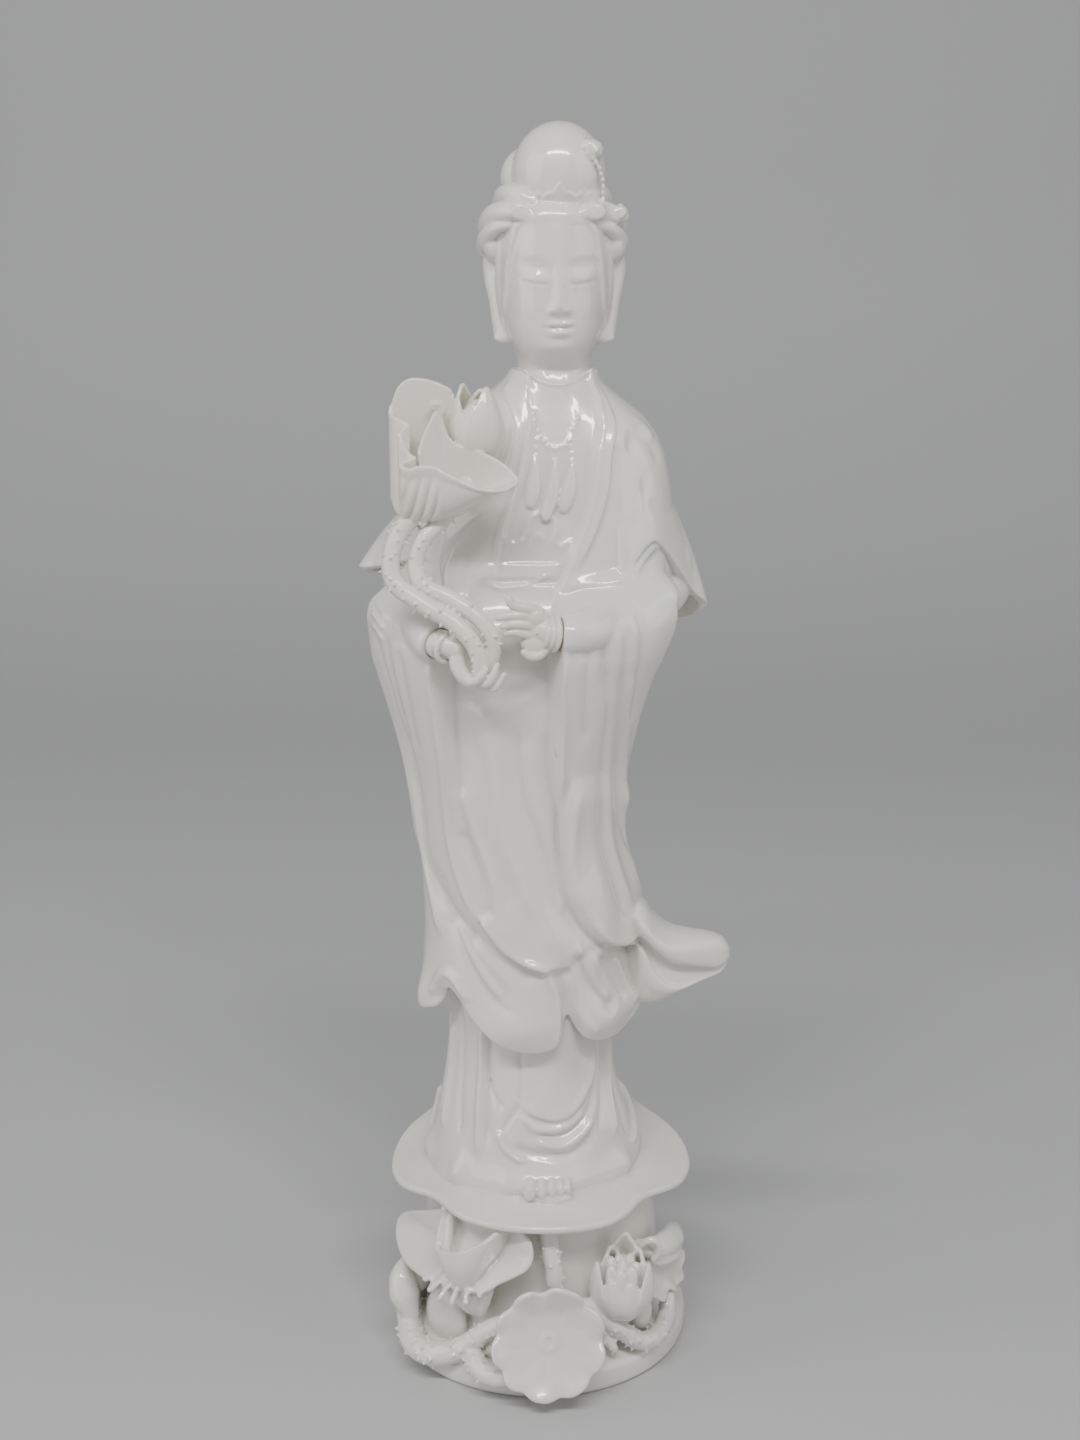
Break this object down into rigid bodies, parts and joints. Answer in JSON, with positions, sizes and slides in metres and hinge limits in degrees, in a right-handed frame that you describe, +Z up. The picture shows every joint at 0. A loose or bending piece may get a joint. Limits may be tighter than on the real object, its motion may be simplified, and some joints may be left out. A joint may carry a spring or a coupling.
{
  "type": "standing guanyin figure on a lotus plinth",
  "caption": "Standing robed guanyin of white glazed porcelain holding a lotus spray, cast together with its lotus plinth.",
  "frame": {"origin": "centre of the plinth's flat underside", "axes": "+Z up along the figure, -Y the way the figure faces, +X to the viewer's right"},
  "size_m": [0.1189, 0.1126, 0.41],
  "materials": {
    "white_glaze": "glossy",
    "cream_glaze": "satin"
  },
  "bodies": {
    "root": {"figure_on_lotus_plinth": "white_glaze", "left_hand": "cream_glaze", "right_hand_with_lotus": "cream_glaze"}
  },
  "joints": []
}
